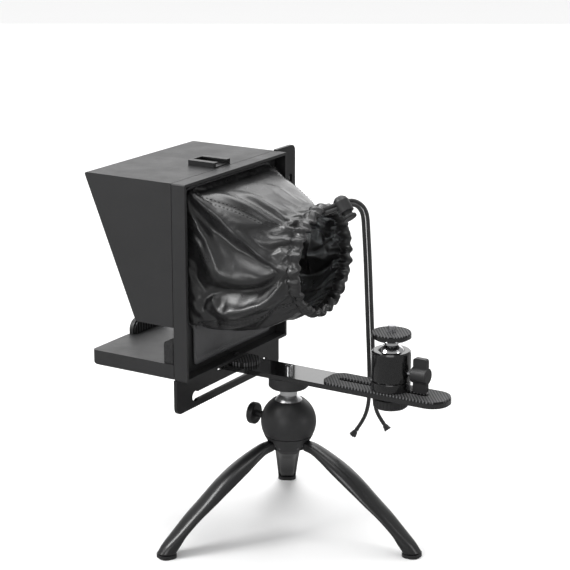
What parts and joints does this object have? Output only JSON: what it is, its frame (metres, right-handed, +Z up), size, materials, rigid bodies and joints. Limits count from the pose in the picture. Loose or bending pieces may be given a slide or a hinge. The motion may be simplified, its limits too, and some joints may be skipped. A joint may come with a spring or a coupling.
{
  "type": "teleprompter",
  "caption": "Phone teleprompter: cut-back hood with a slanted mirror glass over a clamp tray, leatherette lens shroud with drawstring, slotted bar, mini ball head and folding table tripod.",
  "frame": {"origin": "on the table, under the middle of the object's bounding box", "axes": "+X back along the bar towards the camera operator, +Y to the side with the slotted ear, +Z up"},
  "size_m": [0.2928, 0.2193, 0.3123],
  "materials": {
    "tripod_plastic": "moulded, satin black",
    "leg_plastic": "moulded, glossy black",
    "foot_rubber": "matte black",
    "steel": "bright",
    "knob_plastic": "fine-grained black",
    "chrome": "polished",
    "bar_black": "black anodised, glossy",
    "pad_rubber": "black, cross-hatched",
    "plate_black": "satin black",
    "body_plastic": "satin dark grey to black",
    "trim_plastic": "satin black",
    "mirror_glass": "half-silvered",
    "foam": "rough black foam",
    "leatherette": "soft, fine-grained, glossy in the folds",
    "cord": "round woven cord",
    "head_black": "black anodised"
  },
  "bodies": {
    "tripod": {"tripod_hub": "tripod_plastic", "leg_pin_1": "steel", "leg_pin_2": "steel", "leg_pin_3": "steel"},
    "leg_one": {"leg_1": "leg_plastic", "foot_pad_1": "foot_rubber"},
    "leg_two": {"leg_2": "leg_plastic", "foot_pad_2": "foot_rubber"},
    "leg_three": {"leg_3": "leg_plastic", "foot_pad_3": "foot_rubber"},
    "ball_clamp_knob": {"lock_knob": "knob_plastic"},
    "ball": {"support_ball": "chrome"},
    "ball_seat": {"support_neck": "chrome", "seat_disc": "tripod_plastic", "tripod_stud": "steel"},
    "prompter": {"extension_bar": "bar_black", "bar_pad": "pad_rubber", "round_pad": "pad_rubber", "frame_screw": "steel", "mount_plate": "plate_black", "rear_frame": "body_plastic", "hood_shell": "body_plastic", "plate_screw_1": "steel", "plate_screw_2": "steel", "plate_screw_3": "steel", "plate_screw_4": "steel", "mirror_glass": "mirror_glass", "glass_rail_near": "trim_plastic", "glass_rail_far": "trim_plastic", "cold_shoe": "plate_black", "phone_tray": "body_plastic", "tray_screw_1": "steel", "tray_screw_2": "steel", "tray_cover": "trim_plastic", "bumper_strip": "foam", "guide_rod_1": "steel", "guide_rod_2": "steel", "shroud": "leatherette", "shroud_flange": "leatherette", "shroud_hem": "leatherette", "drawstring_a": "cord", "drawstring_b": "cord", "drawstring_knot_a": "cord", "drawstring_knot_b": "cord", "cord_lock_barrel": "knob_plastic"},
    "phone_clamp": {"phone_jaw": "trim_plastic", "jaw_pad": "pad_rubber", "jaw_slider": "trim_plastic"},
    "cord_lock_button": {"cord_lock_plunger": "knob_plastic"},
    "head_foot": {"head_base": "head_black"},
    "thumb_screw": {"thumb_nut": "knob_plastic", "thumb_stud": "steel"},
    "head_cup": {"head_body": "head_black"},
    "wing_screw": {"wing_shaft": "steel", "wing_knob": "knob_plastic"},
    "head_stem": {"head_ball": "chrome"},
    "camera_disc": {"camera_platform": "head_black", "platform_pad": "pad_rubber", "camera_stud": "steel"}
  },
  "joints": [
    {"name": "leg_one_fold", "type": "hinge", "parent": "tripod", "child": "leg_one", "pos_m": [0.01085, 0.00241, 0.0775], "axis": [-0.0349, 0.9994, 0], "range_deg": [0, 45]},
    {"name": "leg_two_fold", "type": "hinge", "parent": "tripod", "child": "leg_two", "pos_m": [-0.00826, 0.01257, 0.0775], "axis": [-0.848, -0.5299, 0], "range_deg": [0, 45]},
    {"name": "leg_three_fold", "type": "hinge", "parent": "tripod", "child": "leg_three", "pos_m": [-0.00751, -0.00907, 0.0775], "axis": [0.8829, -0.4695, 0], "range_deg": [0, 45]},
    {"name": "ball_clamp_turn", "type": "hinge", "parent": "tripod", "child": "ball_clamp_knob", "pos_m": [-0.03462, 0.00082, 0.098], "axis": [-0.9994, -0.0349, 0], "range_deg": [-180, 180]},
    {"name": "ball_pan", "type": "hinge", "parent": "tripod", "child": "ball", "pos_m": [-0.00164, 0.00197, 0.108], "axis": [0, 0, 1], "continuous": true},
    {"name": "ball_tilt", "type": "hinge", "parent": "ball", "child": "ball_seat", "pos_m": [-0.00164, 0.00197, 0.108], "axis": [0, 1, 0], "range_deg": [-12, 12]},
    {"name": "bar_swivel", "type": "hinge", "parent": "ball_seat", "child": "prompter", "pos_m": [-0.00164, 0.00197, 0.137], "axis": [0, 0, 1], "continuous": true},
    {"name": "clamp_slide", "type": "slide", "parent": "prompter", "child": "phone_clamp", "axis": [-1, 0, 0], "range_m": [0, 0.022], "stiffness_N_per_m": 180, "springref_m": -0.004},
    {"name": "cord_lock_press", "type": "slide", "parent": "prompter", "child": "cord_lock_button", "axis": [-0.6396, 0.1588, 0.7521], "range_m": [0, 0.003], "stiffness_N_per_m": 900, "springref_m": -0.001},
    {"name": "head_slide", "type": "slide", "parent": "prompter", "child": "head_foot", "axis": [1, 0, 0], "range_m": [-0.008, 0.029]},
    {"name": "thumb_screw_turn", "type": "hinge", "parent": "head_foot", "child": "thumb_screw", "pos_m": [0.09436, 0.00197, 0.132], "axis": [0, 0, 1], "continuous": true},
    {"name": "head_pan", "type": "hinge", "parent": "head_foot", "child": "head_cup", "pos_m": [0.09436, 0.00197, 0.15], "axis": [0, 0, 1], "range_deg": [-90, 90]},
    {"name": "wing_screw_turn", "type": "hinge", "parent": "head_cup", "child": "wing_screw", "pos_m": [0.11436, 0.00197, 0.158], "axis": [1, 0, 0], "range_deg": [-180, 180]},
    {"name": "head_tilt", "type": "hinge", "parent": "head_cup", "child": "head_stem", "pos_m": [0.09436, 0.00197, 0.169], "axis": [0, 1, 0], "range_deg": [-25, 25]},
    {"name": "camera_disc_spin", "type": "hinge", "parent": "head_stem", "child": "camera_disc", "pos_m": [0.09436, 0.00197, 0.186], "axis": [0, 0, 1], "continuous": true}
  ]
}
